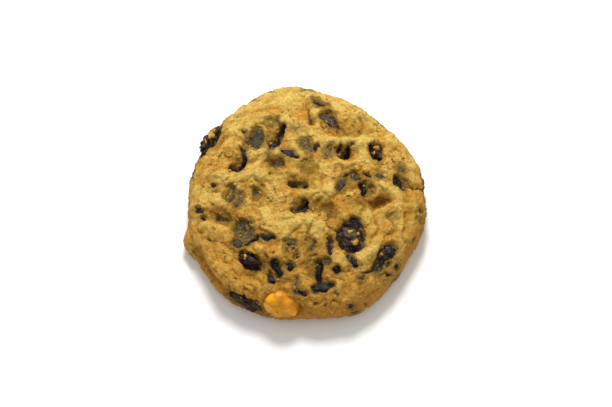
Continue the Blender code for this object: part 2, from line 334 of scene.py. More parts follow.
def smooth_step(value, start, end):
    share = np.clip((value - start) / (end - start), 0.0, 1.0)
    return share * share * (3.0 - 2.0 * share)


def bearings_of(points):
    return np.degrees(np.arctan2(points[:, 1], points[:, 0]))


def facing_up(normals):
    """1 on the crown, 0 on the side and below."""
    return smooth_step(normals[:, 2], 0.35, 0.95)


def settling(height):
    """0 at the base, which lies flat, and 1 from a little above it."""
    return smooth_step(height, 0.2 * MM, GROUND_FADE)


def turn_between(bearing, other):
    """Signed degrees from one bearing to the other, the short way round."""
    return (bearing - other + 180.0) % 360.0 - 180.0


def ripple(points, size, seed=0, octaves=1):
    """Smooth noise from about -1 to 1 at each point, in lumps of about that size."""
    places = (points / size + 31.7 * seed).tolist()
    if octaves == 1:
        return np.array([noise.noise(place) for place in places])
    return np.array([noise.fractal(place, 1.0, 2.0, octaves) for place in places])


def wander(points):
    """Sideways shift that makes the outlines of the fruit uneven."""
    broad = [noise.noise_vector(place) for place in (points / (2.6 * MM)).tolist()]
    small = [noise.noise_vector(place) for place in (points / (1.1 * MM) + 7.0).tolist()]
    return 0.75 * MM * np.array(broad) + 0.30 * MM * np.array(small)


def billow(points, size, seed=0):
    """Puffy lumps of about that size: 1 on their backs, 0 in the creases between them."""
    return np.minimum(1.0, 3.4 * np.abs(ripple(points, size, seed)))


def oval_distance(points, x, y, length, width, heading):
    """Distance from an oval's middle in the plan, where 1 is its edge."""
    turn = math.radians(heading)
    across_x, across_y = points[:, 0] - x * MM, points[:, 1] - y * MM
    along = (across_x * math.cos(turn) + across_y * math.sin(turn)) / (0.5 * length * MM)
    across = (across_y * math.cos(turn) - across_x * math.sin(turn)) / (0.5 * width * MM)
    return np.hypot(along, across)


# ---------------------------------------------------------------------------------------------- the dough

def half_section(sizes):
    """Outline from the middle of the crown, over the side, to the middle of the base.

    Gives the shares of the rim's reach, the heights, and the length of outline run so far.
    """
    turns = np.linspace(0.0, 0.5 * math.pi, SECTION_STEPS + 1)
    crown = np.sin(turns) ** (2.0 / CROWN_FLATNESS)
    rise = np.clip(np.cos(turns), 0.0, 1.0) ** (2.0 / SHOULDER_ROUNDING)
    foot = FOOT_SHARE + (1.0 - FOOT_SHARE) * np.cos(turns[1:])
    shares = np.concatenate([crown, foot, [0.0]])
    heights = np.concatenate([
        sizes.waist_height + (sizes.crown_height - sizes.waist_height) * rise,
        sizes.waist_height * (1.0 - np.sin(turns[1:])),
        [0.0],
    ])
    steps = np.hypot(np.diff(shares) * sizes.rim_reach, np.diff(heights))
    return shares, heights, np.concatenate([[0.0], np.cumsum(steps)])


def rim_reach(bearings, sizes):
    reach = np.full(len(bearings), sizes.rim_reach)
    for at, height, width in RIM_BULGES:
        reach += height * MM * bell(turn_between(bearings, at), width)
    return reach


def plain_form(cube_points, sizes):
    """Moves the points of a divided cube to the plain form of the cookie."""
    shares, heights, run = half_section(sizes)
    ball = np.tan(0.25 * math.pi * cube_points)
    ball /= np.linalg.norm(ball, axis=1)[:, None]
    turn = np.arccos(np.clip(ball[:, 2], -1.0, 1.0)) / math.pi
    bearing = np.arctan2(ball[:, 1], ball[:, 0])
    wanted = np.interp(turn, [0.0, UPPER_TURN, 1.0], [0.0, run[-2], run[-1]])
    reach = np.interp(wanted, run, shares) * rim_reach(np.degrees(bearing), sizes)
    height = np.interp(wanted, run, heights)
    return np.column_stack([reach * np.cos(bearing), reach * np.sin(bearing), height])


def quilt(points):
    """Evenly spread soft hollows on a wandering square lattice, 0 to about 1."""
    turn = QUILT_TURN
    along = (points[:, 0] * math.cos(turn) + points[:, 1] * math.sin(turn)) / QUILT_PITCH
    across = (points[:, 1] * math.cos(turn) - points[:, 0] * math.sin(turn)) / QUILT_PITCH
    reach = math.ceil(np.abs(np.concatenate([along, across])).max()) + 1
    depth = np.zeros(len(points))
    for column in range(-reach, reach + 1):
        for row in range(-reach, reach + 1):
            drift = 2.0 * noise.cell_vector((column, row, 0.0)) - Vector((1.0, 1.0, 1.0))
            away = np.hypot(along - column - QUILT_JITTER * drift.x, across - row - QUILT_JITTER * drift.y)
            depth += (0.65 + 0.35 * drift.z) * bell(away * QUILT_PITCH, QUILT_RADIUS)
    return depth


def broad_relief(points, normals, sizes):
    """The large hollows, ridges and lumps, and the ledge round the left foot."""
    upward = facing_up(normals)
    rise = sizes.quilt_depth * (0.5 - quilt(points)) * upward
    for x, y, length, width, heading, height in SWELLS:
        away = oval_distance(points, x, y, length + SWELL_MARGIN, width + SWELL_MARGIN, heading)
        gain = RIDGE_GAIN if height > 0.0 else HOLLOW_GAIN
        rise += gain * height * MM * np.exp(-0.9 * away ** 2.4) * upward
    rise += BROAD_LUMP_HEIGHT * ripple(points, BROAD_LUMP_SIZE, 1) * (1.0 - 0.4 * upward)
    bearing = bearings_of(points)
    height = points[:, 2]
    side = 1.0 - upward
    ledge = bell(turn_between(bearing, LEDGE_BEARING), LEDGE_WIDTH)
    rise += 1.0 * MM * ledge * side * bell(height - 2.8 * MM, 2.0 * MM)
    rise -= 1.2 * MM * ledge * side * bell(height - 6.4 * MM, 1.8 * MM)
    rise += 0.7 * MM * ledge * bell(height - 10.4 * MM, 1.6 * MM)
    for at, width, level, spread, out in SIDE_FORMS:
        rise += out * MM * bell(turn_between(bearing, at), width) * bell(height - level * MM, spread * MM)
    return rise * settling(height)


class Trail:
    """A short curved line on the dough's surface that a bit or a crack follows."""

    def __init__(self, anchors, up, seed):
        self.anchors = [Vector(anchor) for anchor in anchors]
        self.up = Vector(up).normalized()
        self.middle = self.anchors[len(self.anchors) // 2]
        self.seed = seed

    def at(self, share):
        """The place at a share from -1 to 1, and the direction of the line there."""
        spot = (share + 1.0) * 0.5 * (len(self.anchors) - 1)
        first = min(int(spot), len(self.anchors) - 2)
        start, end = self.anchors[first], self.anchors[first + 1]
        return start.lerp(end, spot - first), (end - start).normalized()

    def swelling(self, share):
        """Share of the full width at a share from -1 to 1 of the length: uneven, and less at the ends."""
        return 1.10 - 0.20 * share ** 2 + 0.18 * np.sin(2.9 * share + self.seed)

    def distances(self, points, half_width=0.0):
        """Distance of each point from the outline of the bit, leaving out the distance along up."""
        up = np.array(self.up)
        nearest = np.full(len(points), np.inf)
        pieces = len(self.anchors) - 1
        for index, (start, end) in enumerate(zip(self.anchors, self.anchors[1:])):
            along = np.array(end - start)
            away = points - np.array(start)
            part = np.clip(away @ along / max(along @ along, 1e-12), 0.0, 1.0)
            away = away - part[:, None] * along
            away = away - np.outer(away @ up, up)
            width = half_width * self.swelling(2.0 * (index + part) / pieces - 1.0)
            nearest = np.minimum(nearest, np.linalg.norm(away, axis=1) - width)
        return nearest


def arc_points(length, bend, count):
    """Points along a flat arc through the origin, in millimetres, that heads along +X at its middle."""
    spots = np.linspace(-0.5 * length, 0.5 * length, count)
    if abs(bend) < 1.0:
        return [(spot, 0.0) for spot in spots]
    curve = math.radians(bend) / length
    return [(math.sin(curve * spot) / curve, (1.0 - math.cos(curve * spot)) / curve) for spot in spots]


def cast_trail(surface, spots, aim, seed):
    """A trail through the places where lines from the spots, drawn along the aim, meet the surface."""
    anchors, ups = [], []
    for spot in spots:
        place, normal, _, _ = surface.ray_cast(spot, aim)
        if place is None:
            raise RuntimeError(f"the line from {spot} misses the cookie")
        anchors.append(place)
        ups.append(normal)
    return Trail(anchors, sum(ups, Vector()), seed)


def crown_trail(surface, x, y, length, width, heading, bend):
    """A trail on the crown, dropped on to the surface from above."""
    turn = math.radians(heading)
    spots = []
    for along, across in arc_points(max(length - width, 0.3), bend, 5):
        spots.append(Vector((
            (x + along * math.cos(turn) - across * math.sin(turn)) * MM,
            (y + along * math.sin(turn) + across * math.cos(turn)) * MM,
            ABOVE,
        )))
    return cast_trail(surface, spots, -UP, 3.7 * x + 1.9 * y)


def side_trail(surface, bearing, height, length, width, roll):
    """A trail on the side, found by looking inwards."""
    turn = math.radians(bearing)
    outward = Vector((math.cos(turn), math.sin(turn), 0.0))
    level = Vector((-math.sin(turn), math.cos(turn), 0.0))
    slant = level * math.cos(math.radians(roll)) + Vector((0.0, 0.0, math.sin(math.radians(roll))))
    start = outward * OUTSIDE + Vector((0.0, 0.0, height * MM))
    spots = [start + slant * (along * MM) for along, _ in arc_points(max(length - width, 0.3), 0.0, 3)]
    return cast_trail(surface, spots, -outward, 0.7 * bearing + height)


def lay_out_bits(surface):
    """Every fruit bit as (kind, trail, width in mm)."""
    bits = []
    for kind, x, y, length, width, heading, bend in CROWN_BITS:
        bits.append((kind, crown_trail(surface, x, y, length, width, heading, bend), width))
    for kind, bearing, height, length, width, roll in SIDE_BITS:
        bits.append((kind, side_trail(surface, bearing, height, length, width, roll), width))
    dice = np.random.default_rng(SIDE_BITS_SEED)
    kinds = sorted(BIT_KINDS)
    for _ in range(HIDDEN_SIDE_BITS):
        bearing = dice.uniform(*HIDDEN_BEARINGS)
        height = dice.uniform(2.6, 10.6)
        width = dice.uniform(1.0, 2.4)
        length = width * dice.uniform(1.1, 2.6)
        roll = dice.uniform(-50.0, 50.0)
        kind = kinds[dice.integers(len(kinds))]
        bits.append((kind, side_trail(surface, bearing, height, length, width, roll), width))
    return bits


def raisin_axes(name):
    """Middle, turn and half sizes of a whole raisin, in metres. The middle is that of its solid."""
    half_sizes, heading, tilt, _, _ = RAISINS[name]
    low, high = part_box(name)
    turn = Euler((0.0, math.radians(tilt), math.radians(heading))).to_matrix()
    return 0.5 * (low + high), turn, Vector(half_sizes) * MM


def raisin_distance(points, name):
    """Distance from a raisin's middle, where 1 is its skin."""
    middle, turn, halves = raisin_axes(name)
    local = (points - np.array(middle)) @ np.array(turn)
    return np.linalg.norm(local / np.array(halves), axis=1)


def read_points(mesh):
    points = np.empty(3 * len(mesh.vertices))
    mesh.vertices.foreach_get("co", points)
    return points.reshape(-1, 3)


def write_points(mesh, points):
    mesh.vertices.foreach_set("co", points.ravel())
    mesh.update()


def read_normals(mesh):
    normals = np.empty(3 * len(mesh.vertices))
    mesh.vertex_normals.foreach_get("vector", normals)
    return normals.reshape(-1, 3)


def surface_of(mesh):
    return BVHTree.FromPolygons(read_points(mesh).tolist(), [face.vertices[:] for face in mesh.polygons])


def store(mesh, name, values):
    attribute = mesh.attributes.new(name, "FLOAT", "POINT")
    attribute.data.foreach_set("value", np.asarray(values, np.float32))


def points_near(points, trail, reach):
    return np.flatnonzero(np.linalg.norm(points - np.array(trail.middle), axis=1) < reach)


def fruit_relief(points, bits):
    """Wells and lips that the fruit leaves in the dough, and how it darkens the dough.

    The darkness is 0.5 at the edge of the fruit, more inside and less outside.
    """
    wells = np.zeros(len(points))
    lips = np.zeros(len(points))
    stain = np.zeros(len(points))
    dark = np.full(len(points), -0.5)
    veil = np.zeros(len(points))
    shifted = points + wander(points)
    for kind, trail, width in bits:
        sink, _, film, _ = BIT_KINDS[kind]
        reach = max((trail.anchors[0] - trail.middle).length, 0.5 * MM) + (width + 7.0) * MM
        near = points_near(points, trail, reach)
        away = trail.distances(shifted[near], 0.5 * width * MM) / MM
        wells[near] = np.maximum(wells[near], sink * (1.0 - smooth_step(away, -0.45, 0.55)))
        lips[near] = np.maximum(lips[near], 0.25 * bell(away - 1.0, 0.6))
        stained = (0.42 + 0.4 * film) * (1.0 - smooth_step(away, -0.2, 2.4))
        stain[near] = np.maximum(stain[near], stained)
        shade = 0.5 - (away + 0.10) / 1.2
        veil[near] = np.where(shade > dark[near], film, veil[near])
        dark[near] = np.maximum(dark[near], shade)
    for name in RAISINS:
        _, _, halves = raisin_axes(name)
        away = (raisin_distance(shifted, name) - 1.0) * min(halves) / MM
        away = away - 0.5 * ripple(points, 3.2 * MM, 13)
        wells = np.maximum(wells, RAISIN_WELL * (1.0 - smooth_step(away, 0.0, 0.9)))
        lips = np.maximum(lips, RAISIN_LIP * bell(away - 1.2, 0.6))
        if name != GOLDEN:
            stain = np.maximum(stain, 0.40 * (1.0 - smooth_step(away, 0.2, 2.4)))
            dark = np.maximum(dark, 0.5 - (away - 0.2) / 1.3)
    return wells * MM, lips * MM * (wells < 0.15), stain, np.clip(dark, -0.5, 1.0), veil


def fine_relief(points, normals, surface, sizes):
    """Puffy lumps, sandy grain, pores and cracks."""
    upward = facing_up(normals)
    lumps = billow(points + 0.6 * MM * ripple(points, 3.0 * MM, 9)[:, None], LUMP_SIZE, 2) - 0.55
    small = billow(points, SMALL_LUMP_SIZE, 3) - 0.6
    rise = sizes.lump_height * (lumps + 0.36 * small) * (0.40 + 0.60 * upward)
    rise += sizes.grain_height * ripple(points, GRAIN_SIZE, 4, 3) * 1.3
    pores = ripple(points, PORE_SIZE, 6) + 0.35 * ripple(points, 0.8 * MM, 7)
    porous = 0.25 + 0.75 * smooth_step(ripple(points, 9.0 * MM, 8), -0.05, 0.3)
    spongy = bell(turn_between(bearings_of(points), SPONGE_BEARING), 12.0)
    spongy = spongy * bell(points[:, 2] - 8.0 * MM, 2.6 * MM)
    pits = smooth_step(pores + 0.60 * spongy, 0.42, 0.62) * np.maximum(porous, spongy)
    rise -= (PORE_DEPTH + SPONGE_DEPTH * spongy) * pits
    cracks = np.zeros(len(points))
    for x, y, length, width, heading, bend, depth in CRACKS:
        trail = crown_trail(surface, x, y, length, width, heading, bend)
        near = points_near(points, trail, (length + 3.0) * MM)
        away = trail.distances(points[near]) / MM + 0.25 * ripple(points[near], 0.9 * MM, 12)
        cracks[near] = np.maximum(cracks[near], depth * (1.0 - smooth_step(away, 0.0, 0.5 * width + 0.25)))
    return rise - cracks * MM, pits, cracks


def patch_shares(points, patches, fray, inner, outer):
    """How strongly each point lies in one of the round patches: x, y, radius, strength."""
    shares = np.zeros(len(points))
    for x, y, radius, strength in patches:
        away = oval_distance(points, x, y, 2.0 * radius, 2.0 * radius, 0.0) + fray
        shares = np.maximum(shares, strength * (1.0 - smooth_step(away, inner, outer)))
    return shares


def make_dough(sizes):
    """The dough body, from a divided cube, with what its material needs stored at each point."""
    mesh = bmesh.new()
    bmesh.ops.create_cube(mesh, size=2.0)
    bmesh.ops.subdivide_edges(mesh, edges=mesh.edges[:], cuts=CUTS - 1, use_grid_fill=True)
    data = bpy.data.meshes.new("dough")
    mesh.to_mesh(data)
    mesh.free()
    data.shade_smooth()

    plain = plain_form(read_points(data), sizes)
    write_points(data, plain)
    broad = broad_relief(plain, read_normals(data), sizes)
    write_points(data, plain + read_normals(data) * broad[:, None])
    surface = surface_of(data)
    bits = lay_out_bits(surface)

    points = read_points(data)
    normals = read_normals(data)
    wells, lips, stain, dark, veil = fruit_relief(points, bits)
    fine, pits, cracks = fine_relief(points, normals, surface, sizes)
    settled = settling(points[:, 2])
    calm = 1.0 - 0.75 * smooth_step(wells, 0.1 * MM, 0.5 * MM)
    rise = (lips - wells + fine * calm) * settled
    push = np.column_stack([ripple(points, 2.6 * MM, seed) for seed in (21, 22, 23)])
    base = smooth_step(-normals[:, 2], 0.6, 0.95) * (1.0 - settled)
    dimples = np.maximum(0.0, ripple(points, 2.2 * MM, 31) + 0.5 * ripple(points, 0.9 * MM, 32) - 0.1)
    write_points(data, points + normals * (rise - 0.35 * MM * dimples * base)[:, None]
                 + push * (0.18 * MM * settled * calm)[:, None])

    height = points[:, 2]
    on_crown = 0.55 * (height > 5.0 * MM)
    patches = patch_shares(points, STAINS, 0.35 * ripple(points, 3.0 * MM, 14), 0.25, 1.1)
    store(data, "stain", np.maximum(stain, on_crown * patches))
    store(data, "dark", dark)
    store(data, "veil", veil)
    # Painted light: the dough is made paler towards the back.
    painted_back_light = 0.26 * smooth_step(points[:, 1], -8.0 * MM, 28.0 * MM)
    # This value follows the height of the relief: it paints highlights on the ridges and shade in the
    # hollows and wells.
    store(data, "pale_tone_and_ridge_light", 0.5 + painted_back_light + (broad + 0.9 * fine - wells) / (2.8 * MM))
    bearing = bearings_of(points)
    knob = bell(turn_between(bearing, KNOB_BEARING), 7.0)
    toast_and_near_shade = patch_shares(points, TOASTS, 0.5 * ripple(points, 3.5 * MM, 15), 0.1, 1.2)
    toast_and_near_shade = np.maximum(toast_and_near_shade, 0.7 * smooth_step(ripple(points, 5.5 * MM, 16), 0.05, 0.45))
    # Painted shade: more of the toast colour towards the near, left side.
    nearness = -points[:, 1] - 0.4 * points[:, 0]
    toast_and_near_shade = np.maximum(toast_and_near_shade, 0.75 * smooth_step(nearness, 10.0 * MM, 34.0 * MM))
    store(data, "toast_and_near_shade", np.maximum(toast_and_near_shade, 0.9 * knob * bell(height - 6.0 * MM, 4.0 * MM)))
    # Pores and cracks, kept for painted shade: the dough colour is darkened in these recesses.
    store(data, "pit", np.clip(pits + 1.2 * cracks, 0.0, 1.0))
    bright = 0.9 * knob + 0.5 * bell(turn_between(bearing, LIP_BEARING), 8.0)
    crust = 1.0 - smooth_step(height, 7.0 * MM, 11.5 * MM)
    crust = crust * (1.0 - bright * smooth_step(height, 2.0 * MM, 4.0 * MM))
    store(data, "crust", crust * (1.0 - base))
    store(data, "tray", base)
    dough = bpy.data.objects.new("dough", data)
    bpy.context.scene.collection.objects.link(dough)
    return dough, bits


# --------------------------------------------------------------------------------------- fruit and crumbs

def flat_sides(seed, count):
    """Directions in which a piece of fruit is pressed flat."""
    sides = np.random.default_rng(seed).normal(size=(count, 3)).tolist()
    return [Vector(side).normalized() for side in sides]


def press_flat(ball, sides, limit):
    """Moves a point of a unit ball back to the flat sides, which lie at that distance from the middle."""
    for side in sides:
        ball = ball - side * max(0.0, ball.dot(side) - limit)
    return ball


def grow_bit(mesh, layers, trail, width, kind, seed):
    """Adds one fruit bit: a ball drawn out along its trail, with a wrinkled skin."""
    film_layer, red_layer = layers
    sink, show, film, red = BIT_KINDS[kind]
    half = 0.5 * width * MM
    thick = min(max(0.8 * half, 0.45 * MM), 1.3 * MM)
    drop = sink * MM - show * MM + thick
    own = Vector((3.1 * seed, 1.7 * seed, 0.9 * seed))
    sides = flat_sides(seed, 7)
    made = bmesh.ops.create_icosphere(mesh, subdivisions=3, radius=1.0)
    for vert in made["verts"]:
        ball = press_flat(vert.co.copy(), sides, 0.66)
        share = max(-1.0, min(1.0, 0.999 * ball.x))
        place, along = trail.at(share)
        swelling = trail.swelling(share) * math.sqrt(1.0 + share ** 2)
        across = trail.up.cross(along).normalized()
        uneven = 1.22 + 0.34 * noise.noise(ball * 1.4 + own)
        crease = abs(noise.noise(ball * 2.8 + own * 2.0))
        skin = uneven - 0.16 * max(0.0, 1.0 - 4.0 * crease)
        sideways = across * (ball.y * half * skin * swelling)
        upwards = trail.up * (ball.z * thick * skin * swelling - drop)
        vert.co = place + along * (ball.x * half * 0.7 * uneven) + sideways + upwards
        vert[film_layer] = film + 0.25 * noise.noise(ball * 2.2 - own)
        vert[red_layer] = red
    points = np.array([vert.co[:] for vert in made["verts"]])
    for vert, shift in zip(made["verts"], wander(points).tolist()):
        vert.co -= Vector(shift)


def make_fruit_bits(bits):
    """All the small bits of fruit, joined. The veiled ones show only in the dough."""
    mesh = bmesh.new()
    layers = (mesh.verts.layers.float.new("film"), mesh.verts.layers.float.new("red"))
    for seed, (kind, trail, width) in enumerate(bits):
        if kind != "veiled":
            grow_bit(mesh, layers, trail, width, kind, seed)
    return add_piece("fruit_bits", mesh)


def make_raisin(name, sizes):
    """A whole raisin: a ball stretched to the solid's size, its skin folded along its length."""
    middle, turn, halves = raisin_axes(name)
    _, _, _, film, red = RAISINS[name]
    mesh = bmesh.new()
    film_layer = mesh.verts.layers.float.new("film")
    red_layer = mesh.verts.layers.float.new("red")
    fold_shade_layer = mesh.verts.layers.float.new("fold")
    own = Vector(middle) / MM
    look = GOLDEN_SKIN if name == GOLDEN else DARK_SKIN
    sides = flat_sides(len(name), 6)
    bmesh.ops.create_icosphere(mesh, subdivisions=5, radius=1.0)
    depth = sizes.wrinkle_depth / MM
    for vert in mesh.verts:
        ball = press_flat(vert.co.copy(), sides, look["flat"])
        spot = Vector([share * half / MM for share, half in zip(ball, halves)])
        bend = spot + 1.5 * noise.noise_vector(spot / 2.8 + own)
        lengthways = Vector((bend.x * 0.7, bend.y, bend.z)) / look["fold_size"]
        fold = abs(noise.noise(lengthways + own + Vector((0.3, 0.6, 0.2))))
        crease = abs(noise.noise(bend - own))
        groove = max(0.0, 1.0 - look["sharpness"] * fold)
        small = max(0.0, 1.0 - 3.4 * crease)
        dent = look["dent"] * noise.noise(spot / look["dent_size"] - own * 0.5)
        folds = depth * (look["fold"] * groove ** 1.2 + look["small_fold"] * small)
        skin = 1.0 + (dent - folds) / 3.2
        vert.co = middle + turn @ Vector([share * half * skin for share, half in zip(ball, halves)])
        vert[film_layer] = film + 0.55 * noise.noise(spot / 1.7 + own * 0.3)
        vert[red_layer] = red
        # Groove depth, which paints shade in the folds of the golden raisin.
        vert[fold_shade_layer] = groove
    return add_piece(name + "_fruit", mesh)


def veil_edges(piece, surface, reach):
    """Lets the dough's film creep over the fruit where the two meet."""
    mesh = piece.data
    points = read_points(mesh)
    film = np.empty(len(points), np.float32)
    mesh.attributes["film"].data.foreach_get("value", film)
    away = np.array([surface.find_nearest(point)[3] for point in points.tolist()])
    creep = 1.0 - smooth_step(away + 0.25 * MM * ripple(points, 1.2 * MM, 41), 0.0, reach)
    mesh.attributes["film"].data.foreach_set("value", (film + 0.55 * creep).astype(np.float32))


def add_piece(name, mesh):
    data = bpy.data.meshes.new(name)
    mesh.to_mesh(data)
    mesh.free()
    data.shade_smooth()
    piece = bpy.data.objects.new(name, data)
    bpy.context.scene.collection.objects.link(piece)
    return piece


def dough_layers(mesh):
    """Layers that let loose dough share the dough's material."""
    names = ("pale_tone_and_ridge_light", "toast_and_near_shade", "stain", "crust", "dark")
    return {name: mesh.verts.layers.float.new(name) for name in names}


def paint(vert, layers, tone, crust):
    """Colours a point of a crumb or a flake: tone 0 is brown, 1 is pale."""
    vert[layers["pale_tone_and_ridge_light"]] = 0.35 + 0.6 * tone
    vert[layers["toast_and_near_shade"]] = 0.6 * (1.0 - tone)
    vert[layers["stain"]] = 0.0
    vert[layers["crust"]] = crust
    vert[layers["dark"]] = -0.5


def turned_to(normal, dice):
    """A matrix that turns +Z to the normal, with a random turn about it."""
    return normal.to_track_quat("Z", "Y").to_matrix() @ Matrix.Rotation(dice.uniform(0.0, math.pi), 3, "Z")


def make_crumbs(surface, bits, raisins):
    """Crumbs over the crown, round the edges of the fruit and on the raisins, joined."""
    mesh = bmesh.new()
    layers = dough_layers(mesh)
    dice = np.random.default_rng(CRUMB_SEED)
    spots = []
    for _ in range(CRUMBS):
        reach = CRUMB_REACH * math.sqrt(dice.uniform(0.0, 1.0))
        turn = dice.uniform(0.0, 2.0 * math.pi)
        spots.append((surface, reach * math.cos(turn), reach * math.sin(turn), dice.uniform(0.15, 0.36)))
    for _, trail, width in bits[:len(CROWN_BITS)]:
        turn = dice.uniform(0.0, 2.0 * math.pi)
        reach = (0.5 * width + dice.uniform(0.2, 1.2)) * MM
        start = trail.anchors[dice.integers(len(trail.anchors))]
        x = (start.x + reach * math.cos(turn)) / MM
        y = (start.y + reach * math.sin(turn)) / MM
        spots.append((surface, x, y, dice.uniform(0.25, 0.55)))
    for name, x, y, size in RAISIN_CRUMBS:
        middle = raisin_axes(name)[0] / MM
        spots.append((raisins[name], middle.x + x, middle.y + y, size))
    for ground, x, y, size in spots:
        place, normal, _, _ = ground.ray_cast(Vector((x * MM, y * MM, ABOVE)), -UP)
        if place is None:
            continue
        own = Vector((x, y, size))
        tone = dice.uniform(0.0, 0.6)
        made = bmesh.ops.create_icosphere(mesh, subdivisions=2 if size > 0.40 else 1, radius=1.0)
        turn = turned_to(normal, dice)
        flat = dice.uniform(0.5, 0.9)
        drawn = dice.uniform(1.0, 1.7)
        for vert in made["verts"]:
            rough = 1.0 + 0.70 * noise.noise(vert.co * 1.7 + own)
            local = Vector((vert.co.x * drawn, vert.co.y, vert.co.z * flat)) * rough * size * MM
            vert.co = place + turn @ local - normal * (0.15 * size * MM)
            paint(vert, layers, tone, 0.0)
    return add_piece("crumbs", mesh)


def clear_of_fruit(place, bits, gap):
    """Whether a place keeps that distance from every bit and raisin."""
    if any((anchor - place).length < gap for _, trail, _ in bits for anchor in trail.anchors):
        return False
    spot = np.array([place[:]])
    return all(raisin_distance(spot, name)[0] > 1.6 for name in RAISINS)


def make_flakes(surface, bits):
    """Oat flakes baked flat into the crown and side, joined."""
    mesh = bmesh.new()
    layers = dough_layers(mesh)
    dice = np.random.default_rng(FLAKE_SEED)
    for index in range(FLAKES):
        half_length = dice.uniform(1.3, 2.2)
        half_width = half_length * dice.uniform(0.5, 0.75)
        turn = dice.uniform(0.0, 2.0 * math.pi)
        outward = Vector((math.cos(turn), math.sin(turn), 0.0))
        on_side = index % 3 == 0
        if on_side:
            start = outward * OUTSIDE + Vector((0.0, 0.0, dice.uniform(3.0, 9.5) * MM))
            aim = -outward
        else:
            reach = FLAKE_REACH * math.sqrt(dice.uniform(0.0, 1.0)) * MM
            start = outward * reach + Vector((0.0, 0.0, ABOVE))
            aim = -UP
        place, normal, _, _ = surface.ray_cast(start, aim)
        if not clear_of_fruit(place, bits, 2.6 * MM):
            continue
        around = surface.find_nearest_range(place, 1.6 * MM)
        normal = sum((Vector(other[1]) for other in around), Vector()).normalized()
        lean = Vector(dice.uniform(-0.12, 0.12, 3).tolist()) * (0.3 if on_side else 1.0)
        matrix = turned_to((normal + lean).normalized(), dice)
        tone = dice.uniform(0.25, 0.75)
        own = Vector((index * 1.3, index * 0.7, 0.0))
        made = bmesh.ops.create_icosphere(mesh, subdivisions=3, radius=1.0)
        for vert in made["verts"]:
            ball = vert.co.copy()
            edge = 1.0 + 0.30 * noise.noise(ball * 1.6 + own) + 0.12 * noise.noise(ball * 4.0 + own)
            crease = 0.12 * max(0.0, 1.0 - 5.0 * abs(ball.y)) * (1.0 if ball.z > 0.0 else -1.0)
            curl = 0.25 * (ball.x ** 2 + ball.y ** 2) * noise.noise(ball + own)
            local = Vector((ball.x * half_length * edge, ball.y * half_width * edge, 0.0))
            local.z = 0.26 * ball.z - crease + curl + 0.09 * noise.noise(ball * 4.0 + own)
            vert.co = place + matrix @ (local * MM) - normal * ((0.32 if on_side else 0.20) * MM)
            paint(vert, layers, tone, 0.6 if on_side else 0.0)
    return add_piece("oat_flakes", mesh)


# ------------------------------------------------------------------------------------------ the materials

class Recipe:
    """Builds a material's nodes from short calls. Patterns follow the Object coordinates, in metres."""

    def __init__(self, name):
        self.material = bpy.data.materials.new(name)
        self.material.use_nodes = True
        self.nodes = self.material.node_tree.nodes
        self.links = self.material.node_tree.links
        self.shader = self.nodes["Principled BSDF"]
        self.place = self.nodes.new("ShaderNodeTexCoord").outputs["Object"]

    def feed(self, socket, value):
        """Sets a socket to a number or a colour, or links it to another node's result."""
        if isinstance(value, bpy.types.NodeSocket):
            self.links.new(value, socket)
        elif isinstance(value, (int, float)):
            socket.default_value = value
        else:
            socket.default_value = (*tuple(value)[:3], 1.0)

    def grain(self, size, detail=3.0, roughness=0.55, distortion=0.0):
        """Noise from 0 to 1 with lumps of about that size."""
        node = self.nodes.new("ShaderNodeTexNoise")
        self.links.new(self.place, node.inputs["Vector"])
        node.inputs["Scale"].default_value = 1.0 / size
        node.inputs["Detail"].default_value = detail
        node.inputs["Roughness"].default_value = roughness
        node.inputs["Distortion"].default_value = distortion
        return node.outputs["Fac"]

    def cells(self, size):
        """Distance to the nearest of scattered points, in shares of that size."""
        node = self.nodes.new("ShaderNodeTexVoronoi")
        self.links.new(self.place, node.inputs["Vector"])
        node.inputs["Scale"].default_value = 1.0 / size
        return node.outputs["Distance"]

    def attribute(self, name):
        node = self.nodes.new("ShaderNodeAttribute")
        node.attribute_name = name
        return node.outputs["Fac"]

    def spread(self, value, low, high, new_low=0.0, new_high=1.0):
        """Stretches a value from one range to another, eased at both ends."""
        node = self.nodes.new("ShaderNodeMapRange")
        node.interpolation_type = "SMOOTHSTEP"
        for socket, number in zip(("Value", "From Min", "From Max", "To Min", "To Max"),
                                  (value, low, high, new_low, new_high)):
            self.feed(node.inputs[socket], number)
        return node.outputs["Result"]

    def reckon(self, operation, first, second):
        node = self.nodes.new("ShaderNodeMath")
        node.operation = operation
        self.feed(node.inputs[0], first)
        self.feed(node.inputs[1], second)
        return node.outputs["Value"]

    def plus(self, first, second):
        return self.reckon("ADD", first, second)

    def minus(self, first, second):
        return self.reckon("SUBTRACT", first, second)

    def times(self, first, second):
        return self.reckon("MULTIPLY", first, second)

    def fray(self, value, pattern, low, high, swing):
        """Adds a pattern to a value: from -swing where it is low to +swing where it is high."""
        return self.plus(value, self.spread(pattern, low, high, -swing, swing))

    def blend(self, share, first, second, kind="MIX"):
        """Mixes two colours."""
        node = self.nodes.new("ShaderNodeMix")
        node.data_type = "RGBA"
        node.blend_type = kind
        self.feed(node.inputs["Factor"], share)
        colours = {socket.name: socket for socket in node.inputs if socket.type == "RGBA"}
        self.feed(colours["A"], first)
        self.feed(colours["B"], second)
        return [socket for socket in node.outputs if socket.type == "RGBA"][0]

    def bump(self, height, distance, strength):
        node = self.nodes.new("ShaderNodeBump")
        node.inputs["Strength"].default_value = strength
        node.inputs["Distance"].default_value = distance
        self.feed(node.inputs["Height"], height)
        self.feed(self.shader.inputs["Normal"], node.outputs["Normal"])

    def finish(self, colour, roughness, **settings):
        self.feed(self.shader.inputs["Base Color"], colour)
        self.feed(self.shader.inputs["Roughness"], roughness)
        for name, value in settings.items():
            self.shader.inputs[name.replace("_", " ")].default_value = value
        return self.material


